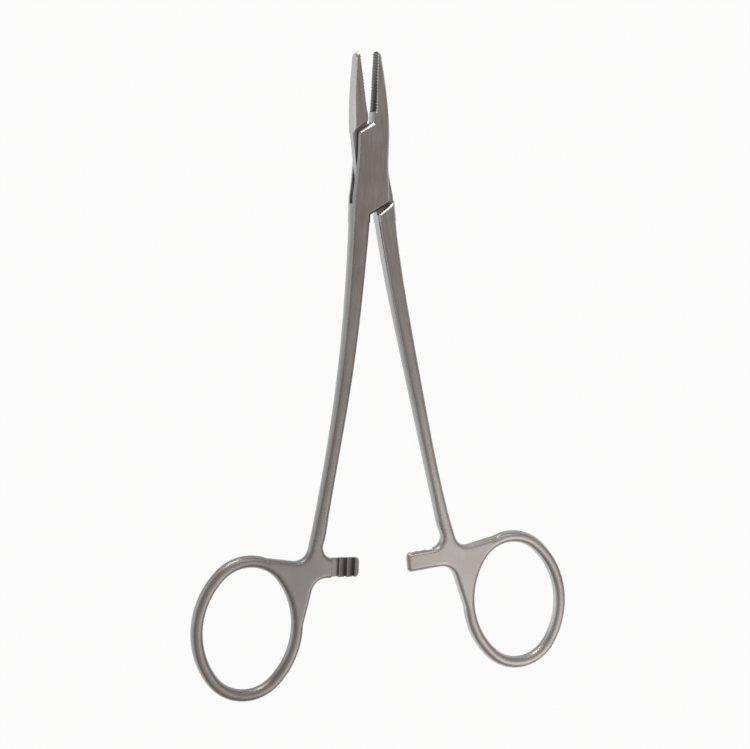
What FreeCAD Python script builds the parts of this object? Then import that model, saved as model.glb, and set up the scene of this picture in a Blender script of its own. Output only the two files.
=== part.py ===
import FreeCAD, Part
import math
import os

# Surgical needle holder with a box lock, finger rings and a three tooth ratchet.
# Sizes are in millimetres. X runs across the tool, Y runs from the rings to the
# jaw tips and Z runs from the table to the viewer. The pin axis is the Z axis.
# Both arms are drawn with the jaws shut, then swung open by half the rest angle.

# Whole tool
closed_length = 149.7
pin_to_tip = 26.45
rest_opening = 8.6

# Box and its slanted plate ends
box_thickness = 4.4
box_half_width = 3.75
box_flare = 0.65
plate_end = 10.3
plate_end_low = 10.85
plate_slope = 0.64
plate_bevel = 0.55
side_bevel = 0.5
shelf_rise = 0.9
side_bend_y = 1.5
corner_setback = 0.4
flare_setback = 1.0
stub_length = 0.8

# Slot, tenon and pin
slot_height = 2.1
slot_wall = 10.05
slot_wall_slope = 0.352
shoulder_gap = 0.22
tenon_side_play = 0.05
tenon_end_play = 0.22
pin_diameter = 3.2
pin_play = 0.04

# Jaws
jaw_length = 13.8
jaw_root_thickness = 4.36
jaw_tip_thickness = 3.0
jaw_tip_width = 1.35
jaw_tip_round = 1.8
jaw_belly = 0.32
jaw_gap_shut = 0.06
taper_lead = 5.3
taper_root = 1.7
tooth_pitch = 0.72
tooth_depth = 0.26
tooth_relief = 0.012

# Shanks
shank_gap = 0.3
shank_lead = 1.15
shank_top_width = 4.2
shank_low_width = 2.8
shank_taper_share = 0.72
shank_flare_share = 0.8
shank_foot_flare = 0.4
shank_foot_offset = 3.14
shank_tail = 2.0
shank_tail_shift = 0.31
box_arm_bow = -0.4
tenon_arm_bow = 0.35
edge_round = 1.0
seat_depth = 0.015

# Finger rings
ring_long = 28.16
ring_short = 21.08
ring_band = 2.75
ring_thickness = 3.0
ring_lean = 2.5
ring_centre_x = 25.59
ring_overlap = 0.4

# Web between the shank and the ring
web_rise = 8.45
neck_fillet = 3.2
neck_drop = 1.9
neck_reach = 3.6
neck_sink = 0.66
inner_foot_in = 0.75
inner_foot_drop = 2.2
outer_foot_in = 2.1
outer_foot_rise = 3.0

# Ratchet bars
bar_rise = 13.62
bar_height = 4.6
bar_reach = 1.35
bar_corner = 1.2
bar_top_fillet = 2.6
bar_low_fillet = 3.6
bar_overlap = 0.8
ratchet_teeth = 3
ratchet_pitch = 1.95
ratchet_lead = 1.3
ratchet_depth = 0.85
ratchet_play = 0.05
ratchet_lock_lean = 0.12
ratchet_run_out = 0.5

# Places that follow from the sizes above
mid_z = box_thickness / 2.0
half_gap = jaw_gap_shut / 2.0
throat_y = pin_to_tip - jaw_length
ring_centre_y = pin_to_tip - closed_length + ring_band + ring_long / 2.0
ring_side_x = ring_centre_x - ring_short / 2.0 - ring_band
ring_top_y = ring_centre_y + ring_long / 2.0 + ring_band
web_low = mid_z - ring_thickness / 2.0
web_high = mid_z + ring_thickness / 2.0
bar_y = ring_centre_y + bar_rise
bar_top = bar_y + bar_height / 2.0
bar_low = bar_y - bar_height / 2.0
web_top_y = bar_y + web_rise
shank_top_y = -plate_end_low - shank_lead
shank_top_x = shank_gap / 2.0 + shank_top_width / 2.0
shank_foot_x = ring_side_x - shank_foot_offset
stub_y = shank_top_y - stub_length
box_low_half = box_half_width + box_flare
side_top_y = plate_end - plate_slope * box_half_width - corner_setback
side_low_y = -plate_end_low + plate_slope * box_low_half + flare_setback

# Far sides of the cutting tools, outside the metal
far_x = 3.0 * box_half_width
far_y = plate_end_low + 6.0
far_z = 3.0 * box_thickness


def vec(x, y, z=0.0):
    return FreeCAD.Vector(x, y, z)


def lerp(a, b, s):
    return a + (b - a) * s


def lines(points):
    edges = []
    for a, b in zip(points[:-1], points[1:]):
        edges.append(Part.makeLine(vec(*a), vec(*b)))
    return edges


def arc(a, b, c):
    return Part.Arc(vec(*a), vec(*b), vec(*c)).toShape()


def prism(edges, low, high):
    # plan outline pulled up between two heights
    face = Part.Face(Part.Wire(Part.__sortEdges__(edges)))
    face.translate(vec(0.0, 0.0, low))
    return face.extrude(vec(0.0, 0.0, high - low))


def poly(points, low=-far_z, high=far_z):
    return prism(lines(points + points[:1]), low, high)


def mirrored(shape):
    return shape.mirror(vec(0.0, 0.0, 0.0), vec(1.0, 0.0, 0.0))


def swung(shape, angle):
    # turn about the pin axis, counter clockwise is positive
    turned = shape.copy()
    turned.rotate(vec(0.0, 0.0, 0.0), vec(0.0, 0.0, 1.0), angle)
    return turned


def turned_over(shape):
    # half turn about the long middle line of the box
    turned = shape.copy()
    turned.rotate(vec(0.0, 0.0, mid_z), vec(0.0, 1.0, 0.0), 180.0)
    return turned


def plate_line(x, gap=0.0):
    # slanted end of the box plates towards the jaws
    return plate_end + plate_slope * x + gap * math.hypot(1.0, plate_slope)


def plate_line_low(x, gap=0.0):
    # slanted end of the box plates towards the shanks
    return -plate_end_low + plate_slope * x - gap * math.hypot(1.0, plate_slope)


def wall_line(x, play=0.0):
    # end wall of the slot, on the side of the solid jaw root
    return slot_wall - slot_wall_slope * x - play * math.hypot(1.0, slot_wall_slope)


# Rounded edges are ground in three narrow flats that touch a circle of the radius edge_round

flat_width = 2.0 - math.sqrt(2.0)
flat_step = 0.215


def ground(shape, levels, keep):
    # grind the edges that lie at the first and last level, first at 45 degrees, then beside it
    wide = flat_width * edge_round
    low, high = levels
    shape = shape.makeChamfer(wide, level_edges(shape, [low, high], keep))
    rims = level_edges(shape, [low, low + wide, high - wide, high], keep)
    return shape.makeChamfer(flat_step * edge_round, rims)


def level_edges(shape, levels, keep):
    # edges that lie at one of the heights and pass the test
    found = []
    for edge in shape.Edges:
        first, last = edge.ParameterRange
        spots = [edge.valueAt(lerp(first, last, s)) for s in (0.0, 0.5, 1.0)]
        if any(all(abs(p.z - z) < 1e-3 for p in spots) for z in levels) and keep(spots[1]):
            found.append(edge)
    return found


# Shank: a smooth bar lofted through sections with ground edges

def shank_half(s):
    # half width at the share s of the way from the box to the web
    taper = min(s / shank_taper_share, 1.0) ** 0.8
    flare = max((s - shank_flare_share) / (1.0 - shank_flare_share), 0.0) ** 2
    return (lerp(shank_top_width, shank_low_width, taper) + shank_foot_flare * flare) / 2.0


def shank_section(x, y, half_width, half_depth, corner):
    # upright cross section whose corners are three flats
    reach = corner / math.cos(math.pi / 16.0)
    spots = []
    for k, (sx, sz) in enumerate(((1, 1), (-1, 1), (-1, -1), (1, -1))):
        cx = x + sx * (half_width - corner)
        cz = mid_z + sz * (half_depth - corner)
        for turn in (11.25, 33.75, 56.25, 78.75):
            angle = math.radians(90.0 * k + turn)
            spots.append(vec(cx + reach * math.cos(angle), y, cz + reach * math.sin(angle)))
    return Part.makePolygon(spots + spots[:1])


def shank(bow):
    # the bar is a hair slimmer than its seats, so that it ends inside them
    web_half = (web_high - web_low) / 2.0
    sections = []
    count = 9
    for k in range(count + 1):
        s = k / float(count)
        x = lerp(shank_top_x, shank_foot_x, s ** 1.5) + bow * math.sin(math.pi * s) ** 2
        sections.append(shank_section(x, lerp(shank_top_y, web_top_y, s), shank_half(s) - seat_depth,
                                      lerp(box_thickness / 2.0, web_half, s) - seat_depth,
                                      lerp(side_bevel / flat_width, edge_round, min(3.0 * s, 1.0))))
    tail = shank_section(shank_foot_x + shank_tail_shift, web_top_y - shank_tail,
                         shank_half(1.0) - 3.0 * seat_depth, web_half - 3.0 * seat_depth, edge_round)
    body = Part.makeLoft(sections, True, False)
    return body.fuse(Part.makeLoft([sections[-1], tail], True, True))


# Finger ring of the right hand limb: an oval section swept round four tangent arcs

def ring_arcs():
    # centre, radius, first angle and sweep of each arc of the finger hole, its length along X
    long_half = ring_long / 2.0
    short_half = ring_short / 2.0
    end_radius = 0.8 * short_half
    side_radius = ((long_half - end_radius) ** 2 + short_half ** 2 - end_radius ** 2)
    side_radius /= 2.0 * (short_half - end_radius)
    end_shift = long_half - end_radius
    side_shift = side_radius - short_half
    end_angle = math.degrees(math.atan2(side_shift, end_shift))
    side_angle = 180.0 - 2.0 * end_angle
    return [((end_shift, 0.0), end_radius, -end_angle, 2.0 * end_angle),
            ((0.0, -side_shift), side_radius, end_angle, side_angle),
            ((-end_shift, 0.0), end_radius, 180.0 - end_angle, 2.0 * end_angle),
            ((0.0, side_shift), side_radius, 180.0 + end_angle, side_angle)]


def set_in_place(shape):
    # lean the ring outward and carry it to its centre
    shape.rotate(vec(0.0, 0.0), vec(0.0, 0.0, 1.0), ring_lean - 90.0)
    shape.translate(vec(ring_centre_x, ring_centre_y))
    return shape


def spot_on(centre, radius, angle):
    turn = math.radians(angle)
    return vec(centre[0] + radius * math.cos(turn), centre[1] + radius * math.sin(turn))


def ring_disc(grow):
    # finger hole outline, grown evenly and filled, as a tall block
    edges = []
    for centre, radius, first, sweep in ring_arcs():
        spots = [spot_on(centre, radius + grow, first + share * sweep) for share in (0.0, 0.5, 1.0)]
        edges.append(Part.Arc(*spots).toShape())
    return set_in_place(prism(edges, -far_z, far_z))


def ring():
    # the section is an oval of sixteen narrow flats
    reach = 1.0 / math.cos(math.pi / 16.0)
    pieces = []
    for centre, radius, first, sweep in ring_arcs():
        spots = []
        for k in range(16):
            angle = math.radians(11.25 + 22.5 * k)
            out = radius + ring_band / 2.0 * (1.0 + reach * math.cos(angle))
            up = mid_z + ring_thickness / 2.0 * reach * math.sin(angle)
            spots.append(spot_on(centre, out, first) + vec(0.0, 0.0, up))
        section = Part.Face(Part.makePolygon(spots + spots[:1]))
        pieces.append(section.revolve(vec(*centre), vec(0.0, 0.0, 1.0), sweep))
    return set_in_place(pieces[0].fuse(pieces[1:]))


# Web of the right hand limb, where the shank, the ratchet bar and the ring meet

def round_post(shape, x, y, radius):
    # round the upright corner nearest to a place
    def distance(edge):
        a = edge.Vertexes[0].Point
        b = edge.Vertexes[-1].Point
        upright = math.hypot(a.x - b.x, a.y - b.y) < 1e-4 and abs(a.z - b.z) > ring_thickness / 2.0
        return math.hypot(a.x - x, a.y - y) if upright else 1e9
    return shape.makeFillet(radius, [min(shape.Edges, key=distance)])


def web():
    half = shank_half(1.0)
    inner_foot = (ring_side_x + inner_foot_in, ring_centre_y - inner_foot_drop)
    outer_foot = (ring_side_x + outer_foot_in, ring_centre_y + outer_foot_rise)

    def inner_x(y):
        return lerp(shank_foot_x - half, inner_foot[0], (web_top_y - y) / (web_top_y - inner_foot[1]))

    def outer_x(y):
        return lerp(shank_foot_x + half, outer_foot[0], (web_top_y - y) / (web_top_y - outer_foot[1]))

    # the neck, where the outer side of the web turns towards the top of the ring
    neck = (outer_x(ring_top_y - neck_drop), ring_top_y - neck_drop)
    strip = poly([(shank_foot_x + half, web_top_y), (shank_foot_x - half, web_top_y), inner_foot,
                  (ring_side_x + 2.0 * ring_band, inner_foot[1]),
                  (ring_centre_x - neck_reach, ring_top_y - neck_sink), neck])
    root_x = inner_x(bar_y) + bar_overlap
    bar = poly([(-bar_reach, bar_low), (root_x, bar_low), (root_x, bar_top), (-bar_reach, bar_top)])
    body = strip.fuse([bar, ring_disc(ring_band - ring_overlap)]).removeSplitter()
    slab = Part.makeBox(8.0 * ring_centre_x, 4.0 * closed_length, web_high - web_low,
                        vec(-4.0 * ring_centre_x, -2.0 * closed_length, web_low))
    body = body.common(slab)
    corners = ((inner_x(bar_top), bar_top, bar_top_fillet), (inner_x(bar_low), bar_low, bar_low_fillet),
               (-bar_reach, bar_low, bar_corner), (-bar_reach, bar_top, bar_corner), neck + (neck_fillet,))
    for x, y, radius in corners:
        body = round_post(body, x, y, radius)
    body = ground(body, (web_low, web_high), lambda p: p.y < web_top_y - 0.01)
    # only the side of the ring that carries the shank and the bar keeps its plate
    wedge = poly([(ring_centre_x, ring_centre_y), (ring_centre_x + 2.0, ring_centre_y + 2.0 * ring_long),
                  (-2.0 * ring_centre_x, ring_centre_y + 2.0 * ring_long),
                  (-2.0 * ring_centre_x, ring_centre_y - 0.7 * ring_long)])
    return body.common(wedge).cut(ring_disc(ring_band / 2.0))


def ratchet_pocket():
    # what is cut from the back of the bar: sloping teeth with upright locking faces
    crest = mid_z + ratchet_play
    root = crest + ratchet_depth
    back = web_low - 1.0
    first = ratchet_lead - bar_reach
    outline = [(-bar_reach - 1.0, back), (-bar_reach - 1.0, root), (-bar_reach, root)]
    for k in range(ratchet_teeth):
        here = first + k * ratchet_pitch
        outline += [(here, crest), (here + ratchet_lock_lean, root)]
    end_x = first + ratchet_teeth * ratchet_pitch
    outline += [(end_x, root), (end_x + ratchet_run_out, back)]
    spots = [vec(x, bar_low - bar_height, z) for x, z in outline]
    face = Part.Face(Part.makePolygon(spots + spots[:1]))
    return face.extrude(vec(0.0, 3.0 * bar_height, 0.0))


def limb(bow):
    # the right hand limb with its ratchet teeth on the back face
    return web().fuse([ring(), shank(bow)]).cut(ratchet_pocket())


# Box, jaw and shank stub, before the slot and the tenon are made

def side_profile():
    # block that is level over the box and tapers in thickness to the jaw tips
    bend_y = plate_end - taper_lead
    root_y = plate_end + taper_root
    end_y = pin_to_tip + 2.0
    box_half = box_thickness / 2.0
    root_half = jaw_root_thickness / 2.0
    fall = (root_half - jaw_tip_thickness / 2.0) / (pin_to_tip - root_y)
    edges = []
    for side in (1.0, -1.0):
        start = vec(-far_x, stub_y - 1.0, mid_z + side * box_half)
        bend = vec(-far_x, bend_y, mid_z + side * box_half)
        middle = vec(-far_x, (bend_y + root_y) / 2.0, mid_z + side * lerp(box_half, root_half, 0.25))
        root = vec(-far_x, root_y, mid_z + side * root_half)
        end = vec(-far_x, end_y, mid_z + side * (root_half - fall * (end_y - root_y)))
        edges += [Part.makeLine(vec(-far_x, start.y, mid_z), start), Part.makeLine(start, bend),
                  Part.Arc(bend, middle, root).toShape(), Part.makeLine(root, end),
                  Part.makeLine(end, vec(-far_x, end_y, mid_z))]
    face = Part.Face(Part.Wire(Part.__sortEdges__(edges)))
    return face.extrude(vec(2.0 * far_x, 0.0, 0.0))


def box_side(sign, top_y):
    # side of the box, straight towards the jaw and flaring towards the shank
    middle = (sign * (box_half_width + 0.34 * box_flare), lerp(side_bend_y, side_low_y, 0.45))
    top = (sign * box_half_width, top_y)
    bend = (sign * box_half_width, side_bend_y)
    low = (sign * box_low_half, side_low_y)
    return lines([top, bend]) + [arc(bend, middle, low)] + lines([low, (low[0], stub_y)])


def block():
    # box with the right hand jaw above and the shank stub below
    round_y = pin_to_tip - jaw_tip_round
    belly_x = lerp(box_half_width, jaw_tip_width, 0.5) + jaw_belly
    shelf_y = plate_end + shelf_rise
    nose = (lerp(half_gap, jaw_tip_width, 0.67), lerp(pin_to_tip, round_y, 0.28))
    belly = (belly_x, lerp(round_y, side_top_y, 0.5))
    edges = [
        arc((half_gap, pin_to_tip), nose, (jaw_tip_width, round_y)),
        arc((jaw_tip_width, round_y), belly, (box_half_width, side_top_y)),
    ]
    edges += box_side(1.0, side_top_y) + box_side(-1.0, shelf_y)
    edges += lines([(-box_low_half, stub_y), (box_low_half, stub_y)])
    edges += lines([(-box_half_width, shelf_y), (half_gap, shelf_y), (half_gap, pin_to_tip)])
    return prism(edges, -far_z, far_z).common(side_profile())


def rim_edges(shape, keep):
    # outline edges of the front and back faces that pass the test
    found = []
    for face in shape.Faces:
        u0, u1, v0, v1 = face.ParameterRange
        if abs(face.normalAt((u0 + u1) / 2.0, (v0 + v1) / 2.0).z) < 0.9:
            continue
        for edge in face.OuterWire.Edges:
            first, last = edge.ParameterRange
            middle = edge.valueAt(lerp(first, last, 0.5))
            run = edge.valueAt(last) - edge.valueAt(first)
            crease = abs(run.y) < 0.01 and middle.y > 0.0
            if not crease and keep(middle, run) and not any(edge.isSame(other) for other in found):
                found.append(edge)
    return found


def on_slant(middle, run):
    # true for an edge along the slanted plate ends
    return abs(run.x) > 0.5 and abs(run.y / run.x - plate_slope) < 0.12


def serrated(shape):
    # two sets of slanting vee grooves leave rows of small pyramids in the grip of the right hand jaw
    reach = 1.5 * jaw_root_thickness
    crest = half_gap + tooth_relief
    field = Part.makeBox(1.0, jaw_length + 1.0, 2.0 * far_z, vec(half_gap - 0.5, throat_y, -far_z))
    for sign in (1.0, -1.0):
        foot = vec(0.0, throat_y - reach / 2.0 - sign * reach / 2.0, mid_z - reach / 2.0)
        spots = [foot + vec(crest - 0.5, 0.0), foot + vec(crest, 0.0)]
        for k in range(int((jaw_length + reach) / tooth_pitch) + 1):
            spots.append(foot + vec(crest + tooth_depth, (k + 0.5) * tooth_pitch))
            spots.append(foot + vec(crest, (k + 1.0) * tooth_pitch))
        spots.append(foot + vec(crest - 0.5, spots[-1].y - foot.y))
        grooves = Part.Face(Part.makePolygon(spots + spots[:1])).extrude(vec(0.0, sign * reach, reach))
        shape = shape.cut(grooves.common(field))
    return shape


def pin_cylinder(radius, low, high):
    return Part.makeCylinder(radius, high - low, vec(0.0, 0.0, low))


# The three pieces, jaws shut

def make_box_arm():
    inner = -shank_gap / 2.0
    body = block()
    body = body.cut([
        poly([(half_gap, plate_line(half_gap)), (half_gap, far_y), (-far_x, far_y),
              (-far_x, plate_line(-far_x))]),
        poly([(inner, plate_line_low(inner)), (far_x, plate_line_low(far_x)), (far_x, -far_y),
              (inner, -far_y)]),
    ])
    body = body.makeChamfer(plate_bevel, rim_edges(body, on_slant))
    rims = rim_edges(body, lambda m, run: m.y > stub_y + 0.1 and not on_slant(m, run)
                     and abs(m.x - half_gap) > 0.02)
    body = body.makeChamfer(side_bevel, rims)
    slot = [(-far_x, -wall_line(far_x)), (inner, -wall_line(-inner)), (inner, -far_y), (far_x, -far_y),
            (far_x, wall_line(far_x)), (half_gap, wall_line(half_gap)), (half_gap, far_y), (-far_x, far_y)]
    body = body.cut(poly(slot, mid_z - slot_height / 2.0, mid_z + slot_height / 2.0))
    body = body.cut(pin_cylinder(pin_diameter / 2.0, -far_z, far_z))
    return serrated(body).fuse(turned_over(limb(box_arm_bow))).removeSplitter()


def make_tenon_arm():
    inner = shank_gap / 2.0
    tenon_half = slot_height / 2.0 - tenon_side_play
    upper_shelf = plate_line(2.0 * inner, shoulder_gap)
    lower_shelf = plate_line_low(-2.0 * inner, shoulder_gap)
    waist = [(-far_x, plate_line(-far_x, shoulder_gap)), (2.0 * inner, upper_shelf), (far_x, upper_shelf),
             (far_x, plate_line_low(far_x, shoulder_gap)), (-2.0 * inner, lower_shelf), (-far_x, lower_shelf)]
    body = mirrored(block())
    body = body.cut([
        poly([(-half_gap, wall_line(-half_gap, tenon_end_play)), (-half_gap, far_y), (far_x, far_y),
              (far_x, wall_line(far_x, tenon_end_play))]),
        poly([(inner, -wall_line(-inner, tenon_end_play)), (inner, -far_y), (-far_x, -far_y),
              (-far_x, -wall_line(far_x, tenon_end_play))]),
    ])
    body = body.cut([poly(waist, mid_z + tenon_half, far_z), poly(waist, -far_z, mid_z - tenon_half)])
    rims = rim_edges(body, lambda m, run: abs(m.z - mid_z) > tenon_half + 0.05 and m.y > stub_y + 0.1
                     and abs(m.x + half_gap) > 0.02)
    body = body.makeChamfer(side_bevel, rims)
    body = body.cut(pin_cylinder(pin_diameter / 2.0 + pin_play, -far_z, far_z))
    body = mirrored(serrated(mirrored(body)))
    return body.fuse(limb(tenon_arm_bow)).removeSplitter()


def make_pivot_pin():
    return pin_cylinder(pin_diameter / 2.0, 0.0, box_thickness)


os.makedirs("parts", exist_ok=True)
pieces = {
    "box_arm": swung(make_box_arm(), -rest_opening / 2.0),
    "tenon_arm": swung(make_tenon_arm(), rest_opening / 2.0),
    "pivot_pin": make_pivot_pin(),
}
for name, shape in pieces.items():
    shape.Solids[0].exportStep("parts/" + name + ".step")
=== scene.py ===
from math import cos, pi, radians, sin

import bpy
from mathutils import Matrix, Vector

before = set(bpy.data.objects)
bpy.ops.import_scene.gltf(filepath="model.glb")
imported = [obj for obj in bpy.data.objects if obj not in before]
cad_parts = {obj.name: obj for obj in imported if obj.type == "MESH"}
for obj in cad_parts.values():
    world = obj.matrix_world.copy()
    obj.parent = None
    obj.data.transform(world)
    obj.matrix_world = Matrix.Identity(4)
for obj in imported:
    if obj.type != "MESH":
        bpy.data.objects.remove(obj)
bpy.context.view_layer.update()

# Surgical needle holder in satin stainless steel, lying on a white table.
# Every length is in metres. X runs across the tool, Y towards the jaw tips, Z up.

MM = 0.001

# Places along Y where the finish changes
GRIP_START = 12.4 * MM
JAW_EDGE_START = 8.0 * MM
FOOT_TOP = -10.9 * MM
FOOT_END = -14.6 * MM
BOW_START = -12.0 * MM
SHANK_START = -13.5 * MM
SHANK_MIDDLE = -45.0 * MM
RING_START = -84.0 * MM
RING_FULL = -94.0 * MM

# Radius about the pin without a rounded edge, and reach of the ratchet bar along X
PIN_CLEAR = 2.0 * MM
BAR_REACH = 12.0 * MM

# Line of the grain down a shank
GRAIN_LEAN = 0.075
GRAIN_BOW = 6.9 * MM
BOW_RUN = 72.0 * MM

# Teeth of the grip, and half the angle at which the jaws lie open
TOOTH_PITCH = 0.72 * MM
HALF_OPEN = radians(4.3)
NOTCH_DEPTH = 0.11 * MM

# Radii of the rounded edges, depth of the grain, and reach of the painted shade in a groove
BOX_EDGE = 0.34 * MM
SHANK_EDGE = 0.80 * MM
GRAIN_DEPTH = 0.02 * MM
SHADE_REACH = 1.2 * MM

# Tints of the steel, and the colour of the dirt and painted shade in its grooves
WARM_STEEL = (0.505, 0.492, 0.472, 1.0)
PLAIN_STEEL = (0.520, 0.507, 0.497, 1.0)
GROOVE_DIRT_AND_SHADE = (0.13, 0.12, 0.11, 1.0)

# Tints of the room, and the share of glow in the white of the table
WHITE = (1.0, 1.0, 1.0, 1.0)
TABLE_WHITE = (0.86, 0.86, 0.85, 1.0)
TABLE_GLOW = 0.95
ROOM_GREY = (0.335, 0.298, 0.285, 1.0)

# Camera of the photograph
CAMERA_PLACE = (-144.59 * MM, -13.44 * MM, 394.06 * MM)
CAMERA_TURN = (radians(-4.041), radians(-20.333), radians(-1.932))
CAMERA_LENS = 86.6
CAMERA_SENSOR = 36.0

# Where the lamps are aimed
MIDDLE = (0.0, -45.0 * MM, 0.0)


class Value:
    """One output socket of a node tree. An expression on values adds Math nodes."""

    def __init__(self, tree, socket):
        self.tree = tree
        self.socket = socket

    def output(self, name):
        """Another output of the same node."""
        return Value(self.tree, self.socket.node.outputs[name])

    def maths(self, operation, first, second):
        """A Math node on two values or numbers."""
        return self.tree.node("ShaderNodeMath", {"operation": operation}, {0: first, 1: second})

    def __add__(self, other):
        return self.maths("ADD", self, other)

    def __radd__(self, other):
        return self.maths("ADD", other, self)

    def __sub__(self, other):
        return self.maths("SUBTRACT", self, other)

    def __rsub__(self, other):
        return self.maths("SUBTRACT", other, self)

    def __mul__(self, other):
        return self.maths("MULTIPLY", self, other)

    def __rmul__(self, other):
        return self.maths("MULTIPLY", other, self)

    def __pow__(self, other):
        return self.maths("POWER", self, other)

    def greatest(self, other):
        return self.maths("MAXIMUM", self, other)


class Tree:
    """The emptied node tree of a material or of the world."""

    def __init__(self, owner):
        owner.use_nodes = True
        self.nodes = owner.node_tree.nodes
        self.links = owner.node_tree.links
        self.nodes.clear()

    def node(self, kind, settings, sockets):
        """Adds a node: its settings first, then a number, a vector or a link for each socket."""
        made = self.nodes.new(kind)
        for name, setting in settings.items():
            setattr(made, name, setting)
        for name, given in sockets.items():
            if isinstance(given, Value):
                self.links.new(given.socket, made.inputs[name])
            else:
                made.inputs[name].default_value = given
        return Value(self, made.outputs[0]) if made.outputs else None

    def step(self, value, low, high, start=0.0, end=1.0):
        """Runs smoothly from start to end while the value goes from low to high."""
        return self.node("ShaderNodeMapRange", {"interpolation_type": "SMOOTHSTEP"},
                         {"Value": value, "From Min": low, "From Max": high, "To Min": start, "To Max": end})

    def point(self, x, y, z):
        """A place or direction made of three numbers."""
        return self.node("ShaderNodeCombineXYZ", {}, {"X": x, "Y": y, "Z": z})

    def part(self, direction, axis):
        """One axis of a place or direction."""
        return self.node("ShaderNodeSeparateXYZ", {}, {"Vector": direction}).output(axis)

    def unsigned(self, value):
        """The value without its sign."""
        return self.node("ShaderNodeMath", {"operation": "ABSOLUTE"}, {0: value})

    def sine(self, value):
        """Sine of an angle in radians."""
        return self.node("ShaderNodeMath", {"operation": "SINE"}, {0: value})

    def vector(self, operation, sockets):
        """Maths on directions or colours."""
        return self.node("ShaderNodeVectorMath", {"operation": operation}, sockets)

    def bevel(self, radius):
        """The normal with the edges rounded to a radius."""
        return self.node("ShaderNodeBevel", {"samples": 12}, {"Radius": radius})

    def noise(self, place, scale, detail, roughness=0.5):
        """Soft noise from 0 to 1, about 0.5. The scale is in cells to the metre."""
        return self.node("ShaderNodeTexNoise", {"noise_dimensions": "3D"},
                         {"Vector": place, "Scale": scale, "Detail": detail, "Roughness": roughness})

    def blend(self, share, first, second):
        """Mixes two colours or two directions."""
        made = self.nodes.new("ShaderNodeMix")
        made.data_type = "RGBA"
        for name, given in (("Factor", share), ("A", first), ("B", second)):
            socket = [s for s in made.inputs if s.name == name and s.enabled][0]
            if isinstance(given, Value):
                self.links.new(given.socket, socket)
            else:
                socket.default_value = given
        return Value(self, [s for s in made.outputs if s.enabled][0])


def along_arm(tree, x, y, z, side, ring):
    """Place in the flow of the grain, which follows the shank and hardly has a direction at the ring.

    The line that it follows is x = side * (lean * -y + bow * t ** 1.5),
    where t is 0 at the top of the shank and 1 where the ring starts.
    """
    share = ((y * -1.0 + BOW_START) * (1.0 / BOW_RUN)).greatest(0.0)
    across = x - side * (y * -GRAIN_LEAN + GRAIN_BOW * share ** 1.5)
    stretch = 0.045 + 0.6 * ring
    return tree.point(across, y * stretch, z)


def rounded_normal(tree, x, y, normal, ring, off_bar, grip):
    """The normal with its edges rounded, by a little at the box and the bar and by more elsewhere."""
    wide = tree.step(y, SHANK_START, SHANK_START - 2.5 * MM) * (1.0 - ring * (1.0 - off_bar))
    rounded = tree.blend(wide, tree.bevel(BOX_EDGE), tree.bevel(SHANK_EDGE))

    # the flush pin and the foot of the box show no edge on the flat face, and the teeth stay sharp
    off_pin = tree.step(x * x + y * y, PIN_CLEAR ** 2, 1.2 * PIN_CLEAR ** 2)
    foot = tree.step(y, FOOT_TOP, FOOT_TOP - 0.5 * MM) * tree.step(y, FOOT_END, FOOT_END + 0.5 * MM)
    foot = foot * tree.step(tree.unsigned(tree.part(normal, "Z")), 0.97, 0.99)
    return tree.blend(off_pin * (1.0 - grip) * (1.0 - foot), normal, rounded)


def painted_wall_light(tree, y, z, tilt, ahead, ring, side):
    """Painted shade on the upright walls, and a painted dark line or painted highlight along their brinks.
    Tilt is 1 on a face that looks up and 0 on a wall.
    """
    # painted shade: walls are dimmer towards their top, and where they look towards the tips
    wall = 1.0 - tree.unsigned(tilt)
    painted_top_shade = tree.step(y, -14.0 * MM, SHANK_MIDDLE, 0.36 - 0.26 * side, 0.62) - 0.2 * ring
    painted_wall_shade = 1.0 - wall * (0.10 + (painted_top_shade - 0.10) * tree.step(z, 0.4 * MM, 3.6 * MM))
    painted_wall_shade = painted_wall_shade * (1.0 - 0.5 * wall * tree.step(ahead, 0.2, 0.7))

    # the brink of a wall gets a painted dark line, but a painted highlight along the jaw of the tenon arm
    brink = tree.step(tilt, 0.35, 0.60) * tree.step(tilt, 0.97, 0.80) * tree.step(ahead, 0.5, 0.2)
    painted_brink_shade = tree.step(y, -25.0 * MM, SHANK_MIDDLE, -0.12, -0.30)
    painted_jaw_highlight = tree.step(y, JAW_EDGE_START - MM, JAW_EDGE_START + MM, 0.0, 0.25 + 0.25 * side)
    return painted_wall_shade * (1.0 + brink * (painted_brink_shade + painted_jaw_highlight))


def tooth_notches(tree, y, z, upright, inset, side):
    """The ends of the teeth at the front edge of the jaw of the box arm: 1 in a notch, 0 beside it."""
    band = tree.step(upright, 0.80, 0.95) * tree.step(z, 2.4 * MM, 2.6 * MM)
    band = band * tree.step(inset, 0.66 * MM, 0.46 * MM) * tree.step(y, GRIP_START - 0.4 * MM, GRIP_START)
    wave = 0.5 + 0.5 * tree.sine(y * (2.0 * pi / TOOTH_PITCH))
    return band * wave * (0.5 - 0.5 * side)


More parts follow.
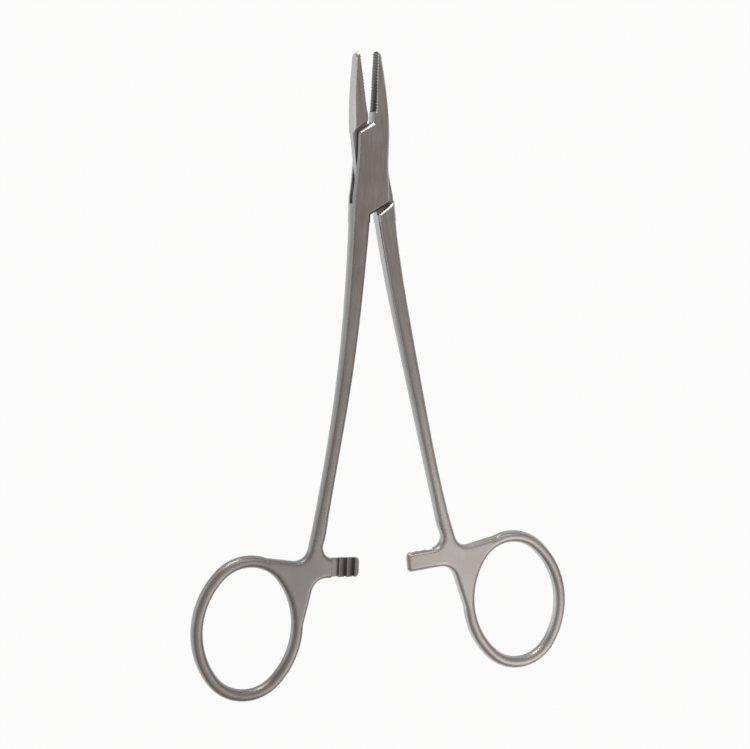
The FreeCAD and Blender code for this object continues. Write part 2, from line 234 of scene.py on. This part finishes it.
def satin_steel(name, side, painted_ring_light):
    """Satin stainless steel with its grain along one arm.

    Side is 1 where the shank of the arm runs to the right and -1 where it runs to the left.
    The last argument is painted light: a gain in tone at the ring, so that the ring of one arm is lighter
    than the other's.
    """
    material = bpy.data.materials.new(name)
    tree = Tree(material)
    place = tree.node("ShaderNodeTexCoord", {}, {}).output("Object")
    x = tree.part(place, "X")
    y = tree.part(place, "Y")
    z = tree.part(place, "Z")
    ring = tree.step(y, RING_START, RING_FULL)
    off_bar = tree.step(x * side, BAR_REACH, BAR_REACH + 3.0 * MM)

    # grain and stains
    flow = along_arm(tree, x, y, z, side, ring)
    fine = tree.noise(flow, scale=5200.0, detail=2.0, roughness=0.6)
    coarse = tree.noise(flow, scale=1300.0, detail=2.0)
    smudge = tree.noise(place, scale=95.0, detail=3.0, roughness=0.55)
    speck = tree.noise(place, scale=4200.0, detail=1.0)

    # the toothed grip; inset is the depth behind the plane where the jaws meet
    inset = x * (-side * cos(HALF_OPEN)) - y * sin(HALF_OPEN)
    grip = tree.step(inset, 0.42 * MM, 0.32 * MM) * tree.step(y, GRIP_START, GRIP_START + 0.3 * MM)

    normal = tree.node("ShaderNodeNewGeometry", {}, {}).output("Normal")
    soft = rounded_normal(tree, x, y, normal, ring, off_bar, grip)
    facing = tree.vector("DOT_PRODUCT", {0: soft, 1: normal}).output("Value")
    edge = tree.step(facing, 0.995, 0.90)

    # the front of a ring is ground nearly flat
    tilt = tree.part(soft, "Z")
    lift = tree.point(0.0, 0.0, ring * off_bar * tree.step(tilt, 0.60, 0.95))
    soft = tree.vector("NORMALIZE", {0: tree.vector("ADD", {0: soft, 1: lift})})
    ahead = tree.part(soft, "Y")

    # dirt and painted shade in the grooves and in the valleys of the teeth: darker where the room is hidden
    # from the steel
    open_sky = tree.node("ShaderNodeAmbientOcclusion", {"samples": 8}, {"Distance": SHADE_REACH})
    dirt_and_shade_share = tree.step(open_sky.output("AO"), 0.75, 0.25)
    valley_dirt_and_shade = grip * tree.step(inset, 0.04 * MM, 0.16 * MM)
    notch_and_painted_glint = tooth_notches(tree, y, z, tree.unsigned(tree.part(normal, "Z")), inset, side)

    # tone and colour
    calm = 1.0 - 0.75 * ring
    grain = (0.34 * (fine - 0.5) + 0.20 * (coarse - 0.5)) * calm
    tone = 1.0 + grain + (0.16 + 0.3 * ring) * (smudge - 0.5) + 0.06 * (speck - 0.5)
    # painted shade on the walls, with a painted dark line or painted highlight along their brinks
    tone = tone * painted_wall_light(tree, y, z, tilt, ahead, ring, side)
    # the notches at the front edge of the jaw are lightened as a painted highlight
    # the valleys of the teeth are darker with dirt and painted shade
    tone = tone * (1.0 - 0.25 * valley_dirt_and_shade) * (1.0 + 0.9 * notch_and_painted_glint)
    # painted light: the ring is made lighter by the gain given for this arm
    tone = tone * (1.0 + painted_ring_light * tree.step(y, -20.0 * MM, -90.0 * MM))
    tint = tree.blend(tree.step(smudge, 0.38, 0.62), WARM_STEEL, PLAIN_STEEL)
    lit = tree.vector("SCALE", {0: tint, "Scale": tone})
    # dirt and painted shade darken the grooves and the foot of the walls
    colour = tree.blend(dirt_and_shade_share, lit, GROOVE_DIRT_AND_SHADE)

    # roughness and bumps
    brushed = (0.16 * (fine - 0.5) + 0.10 * (coarse - 0.5)) * calm
    rough = 0.28 + brushed + 0.10 * (smudge - 0.5) + 0.05 * ring - 0.04 * edge + 0.1 * dirt_and_shade_share
    notched = tree.node("ShaderNodeBump", {}, {"Distance": NOTCH_DEPTH, "Height": notch_and_painted_glint, "Normal": soft})
    height = (0.6 * fine + coarse) * calm + 0.15 * speck
    bump = tree.node("ShaderNodeBump", {}, {
        "Strength": 0.12, "Distance": GRAIN_DEPTH, "Height": height, "Normal": notched})
    metal = tree.node("ShaderNodeBsdfPrincipled", {}, {
        "Base Color": colour, "Roughness": rough, "Metallic": 1.0, "Normal": bump})
    tree.node("ShaderNodeOutputMaterial", {}, {"Surface": metal})
    return material


def dress(node, material):
    """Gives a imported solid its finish."""
    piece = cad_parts[node]
    piece.data.materials.clear()
    piece.data.materials.append(material)


dress("box_arm", satin_steel("box_arm_steel", side=-1.0, painted_ring_light=0.0))
# the ring of the tenon arm gets painted light
dress("tenon_arm", satin_steel("tenon_arm_steel", side=1.0, painted_ring_light=0.45))
dress("pivot_pin", satin_steel("pivot_pin_steel", side=-1.0, painted_ring_light=0.0))


def seen_share(tree):
    """1 for a ray from the camera, a mirror or a glass, 0 for one that only lights the scene."""
    path = tree.node("ShaderNodeLightPath", {}, {})
    camera = path.output("Is Camera Ray")
    return camera.greatest(path.output("Is Glossy Ray")).greatest(path.output("Is Transmission Ray"))


def white_table():
    """Floor that shows as white and still takes a faint shadow."""
    reach = 4.0
    mesh = bpy.data.meshes.new("table_top")
    corners = [(-reach, -reach, 0.0), (reach, -reach, 0.0), (reach, reach, 0.0), (-reach, reach, 0.0)]
    mesh.from_pydata(corners, [], [(0, 1, 2, 3)])
    table = bpy.data.objects.new("table_top", mesh)
    bpy.context.scene.collection.objects.link(table)
    material = bpy.data.materials.new("table_white")
    tree = Tree(material)
    matte = tree.node("ShaderNodeBsdfDiffuse", {}, {"Color": TABLE_WHITE})
    glow = tree.node("ShaderNodeEmission", {}, {"Color": WHITE, "Strength": 1.0})
    seen = seen_share(tree) * TABLE_GLOW
    surface = tree.node("ShaderNodeMixShader", {}, {0: seen, 1: matte, 2: glow})
    tree.node("ShaderNodeOutputMaterial", {}, {"Surface": surface})
    mesh.materials.append(material)


def studio_world():
    """Soft grey room light, white where the camera sees it directly or through glass."""
    world = bpy.data.worlds.new("studio_room")
    bpy.context.scene.world = world
    tree = Tree(world)
    path = tree.node("ShaderNodeLightPath", {}, {})
    room = tree.node("ShaderNodeBackground", {}, {"Color": ROOM_GREY, "Strength": 1.0})
    white = tree.node("ShaderNodeBackground", {}, {"Color": WHITE, "Strength": 1.0})
    seen = path.output("Is Camera Ray").greatest(path.output("Is Transmission Ray"))
    surface = tree.node("ShaderNodeMixShader", {}, {0: seen, 1: room, 2: white})
    tree.node("ShaderNodeOutputWorld", {}, {"Surface": surface})


def soft_box(name, place, width, height, power, colour=(1.0, 1.0, 1.0)):
    """A rectangular studio lamp that faces the middle of the tool."""
    lamp = bpy.data.lights.new(name, "AREA")
    lamp.shape = "RECTANGLE"
    lamp.size = width
    lamp.size_y = height
    lamp.energy = power
    lamp.color = colour
    holder = bpy.data.objects.new(name, lamp)
    holder.location = place
    holder.rotation_euler = (Vector(MIDDLE) - Vector(place)).to_track_quat("-Z", "Y").to_euler()
    bpy.context.scene.collection.objects.link(holder)


white_table()
studio_world()
soft_box("far_box", (-0.216, 0.81, 0.16), width=0.40, height=0.24, power=1.9, colour=(1.0, 0.93, 0.92))
soft_box("left_box", (-0.9, -0.1, 0.22), width=0.9, height=0.4, power=0.75)
soft_box("near_box", (0.47, -0.50, 0.82), width=0.34, height=0.50, power=0.50)
soft_box("over_box", (0.12, 0.55, 0.85), width=0.7, height=0.13, power=0.6)

camera_data = bpy.data.cameras.new("photo_camera")
camera_data.lens = CAMERA_LENS
camera_data.sensor_width = CAMERA_SENSOR
camera_data.clip_start = 0.01
camera_data.clip_end = 20.0
camera = bpy.data.objects.new("photo_camera", camera_data)
camera.location = CAMERA_PLACE
camera.rotation_euler = CAMERA_TURN
bpy.context.scene.collection.objects.link(camera)
bpy.context.scene.camera = camera
bpy.context.scene.view_settings.view_transform = "Standard"
